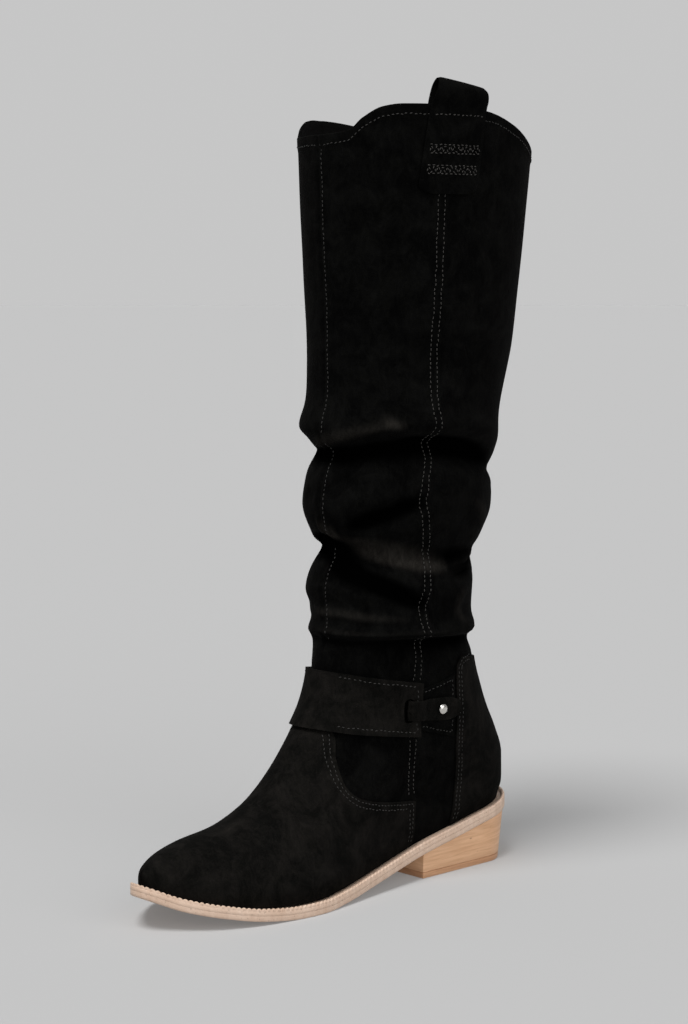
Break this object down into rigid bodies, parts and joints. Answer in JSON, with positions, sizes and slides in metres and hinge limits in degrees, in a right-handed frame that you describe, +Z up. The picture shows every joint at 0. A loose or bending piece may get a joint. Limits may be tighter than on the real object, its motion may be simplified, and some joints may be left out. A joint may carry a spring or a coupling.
{
  "type": "slouch boot",
  "caption": "Left knee-high slouch boot: gathered suede leg, pointed vamp, ankle strap, side pull tab, welted leather sole and stacked heel.",
  "frame": {"origin": "middle of the heel's floor face", "axes": "+Z up the leg, the toe points along -Y, +X is the outer side of the foot"},
  "size_m": [0.1127, 0.2793, 0.4458],
  "materials": {
    "upper_suede": "near-black suede, matt, mottled nap",
    "panel_suede": "black suede, matt, a little lighter on the overlays",
    "lining_leather": "dark smooth lining leather",
    "sole_leather": "tan sole leather, light sheen",
    "stacked_heel": "pale stacked heel with a fine level grain",
    "stud_steel": "polished"
  },
  "bodies": {
    "root": {"upper": "upper_suede", "vamp": "panel_suede", "counter": "panel_suede", "ankle_strap": "panel_suede", "strap_anchor": "upper_suede", "strap_tab": "panel_suede", "strap_stud": "stud_steel", "pull_tab": "panel_suede", "welt": "sole_leather", "outsole": "sole_leather", "insole": "lining_leather", "heel_block": "stacked_heel", "heel_lift": "stacked_heel"}
  },
  "joints": []
}
